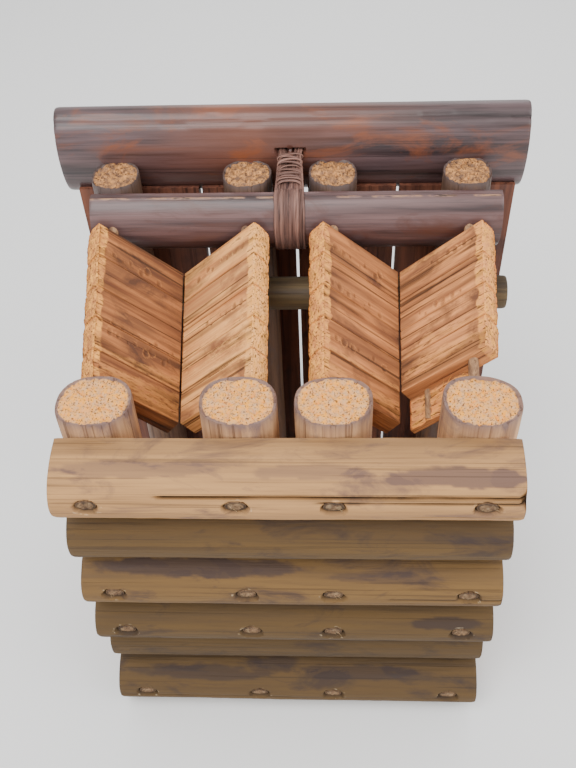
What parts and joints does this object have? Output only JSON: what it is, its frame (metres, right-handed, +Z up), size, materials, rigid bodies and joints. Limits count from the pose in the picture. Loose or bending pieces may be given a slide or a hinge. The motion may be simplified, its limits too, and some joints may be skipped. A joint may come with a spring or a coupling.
{
  "type": "slatted trough press crate",
  "caption": "Open rectangular crate of pegged poles holding sloping slatted leaves on rods that form V troughs over a collecting space.",
  "frame": {"origin": "bottom centre of the bounding box", "axes": "+Z up, the pegged front logs face -Y, +X to the right seen from the front"},
  "size_m": [0.418, 0.3388, 0.5283],
  "materials": {
    "pole": "weathered",
    "front_log": "weathered",
    "peg_wood": "matte",
    "dark_wood": "satin",
    "board": "matte",
    "cane": "matte",
    "leaf_wood": "matte"
  },
  "bodies": {
    "frame": {"front_post_1": "pole", "front_post_2": "pole", "front_post_3": "pole", "front_post_4": "pole", "front_log_1": "front_log", "front_log_2": "front_log", "front_log_3": "front_log", "front_log_4": "front_log", "front_log_5": "front_log", "front_log_6": "front_log", "front_pegs": "peg_wood", "hidden_pegs": "peg_wood", "back_post_1": "pole", "back_post_2": "pole", "back_post_3": "pole", "back_post_4": "pole", "clamp_rail": "dark_wood", "back_log": "dark_wood", "back_board_1": "board", "back_board_2": "board", "back_board_3": "board", "back_board_4": "board", "bearer": "dark_wood", "board_pegs": "peg_wood", "back_log_pegs": "peg_wood", "bearer_pegs": "peg_wood", "lashing_strands": "cane", "lashing_turns": "cane", "hinge_rod_1": "peg_wood", "hinge_rod_2": "peg_wood", "hinge_rod_3": "peg_wood", "hinge_rod_4": "peg_wood", "lower_tie_1": "peg_wood", "lower_tie_2": "peg_wood", "leaf_2_plank_1": "leaf_wood", "leaf_2_plank_2": "leaf_wood", "leaf_2_plank_3": "leaf_wood", "leaf_2_plank_4": "leaf_wood", "leaf_2_plank_5": "leaf_wood", "leaf_2_tie_dowel": "peg_wood", "leaf_3_plank_1": "leaf_wood", "leaf_3_plank_2": "leaf_wood", "leaf_3_plank_3": "leaf_wood", "leaf_3_plank_4": "leaf_wood", "leaf_3_plank_5": "leaf_wood", "leaf_3_tie_dowel": "peg_wood"},
    "leaf_1": {"leaf_1_plank_1": "leaf_wood", "leaf_1_plank_2": "leaf_wood", "leaf_1_plank_3": "leaf_wood", "leaf_1_plank_4": "leaf_wood", "leaf_1_plank_5": "leaf_wood", "leaf_1_tie_dowel": "peg_wood"},
    "leaf_4": {"leaf_4_plank_1": "leaf_wood", "leaf_4_plank_2": "leaf_wood", "leaf_4_plank_3": "leaf_wood", "leaf_4_plank_4": "leaf_wood", "leaf_4_plank_5": "leaf_wood", "leaf_4_tie_dowel": "peg_wood"}
  },
  "joints": [
    {"name": "leaf_1_hinge", "type": "hinge", "parent": "frame", "child": "leaf_1", "pos_m": [-0.155, -0.0019, 0.41372], "axis": [0, -0.8434, -0.5373], "range_deg": [0, 25]},
    {"name": "leaf_4_hinge", "type": "hinge", "parent": "frame", "child": "leaf_4", "pos_m": [0.155, -0.0019, 0.41372], "axis": [0, 0.8434, 0.5373], "range_deg": [0, 25]}
  ]
}
